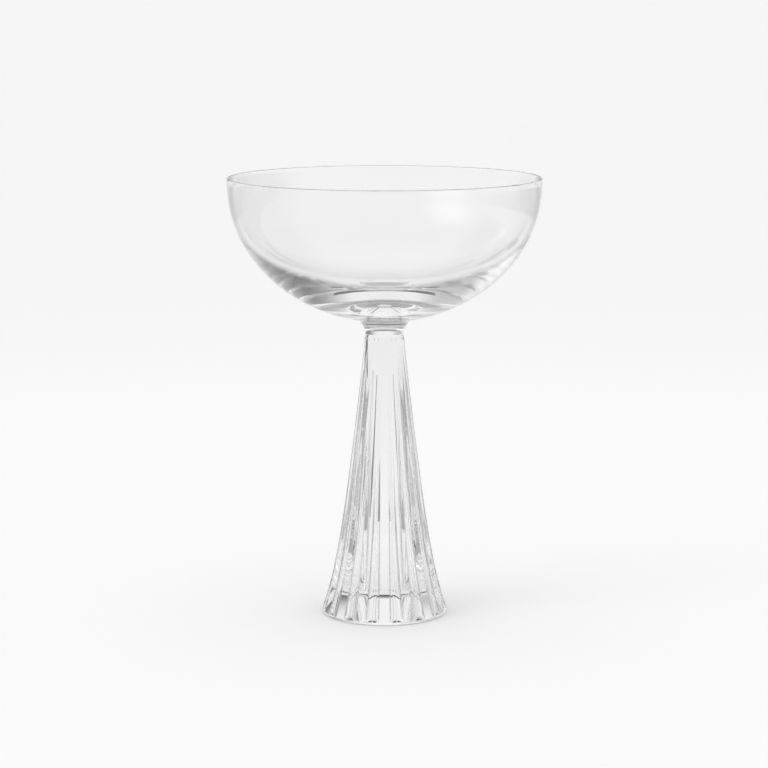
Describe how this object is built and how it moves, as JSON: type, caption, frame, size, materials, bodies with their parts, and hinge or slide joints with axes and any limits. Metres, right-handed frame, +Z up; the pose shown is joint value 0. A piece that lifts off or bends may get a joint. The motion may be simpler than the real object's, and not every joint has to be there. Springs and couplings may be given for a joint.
{
  "type": "gin glass",
  "caption": "Coupe-shaped drinking glass: a thin round bowl on a flared neck, carried by a solid fluted stem that widens into its own foot.",
  "frame": {"origin": "on the surface the glass stands on, at the centre of the foot's flat underside", "axes": "+Z up along the axis of the bowl and stem; +X to the right and +Y away, with a ridge of the stem facing -Y"},
  "size_m": [0.115, 0.115, 0.1621],
  "materials": {
    "blown_glass": "fire-polished clear glass",
    "joint_glass": "clear glass, hot-joined",
    "pressed_glass": "fire-polished pressed clear glass"
  },
  "bodies": {
    "root": {"bowl": "blown_glass", "joining_neck": "joint_glass", "fluted_stem": "pressed_glass"}
  },
  "joints": []
}
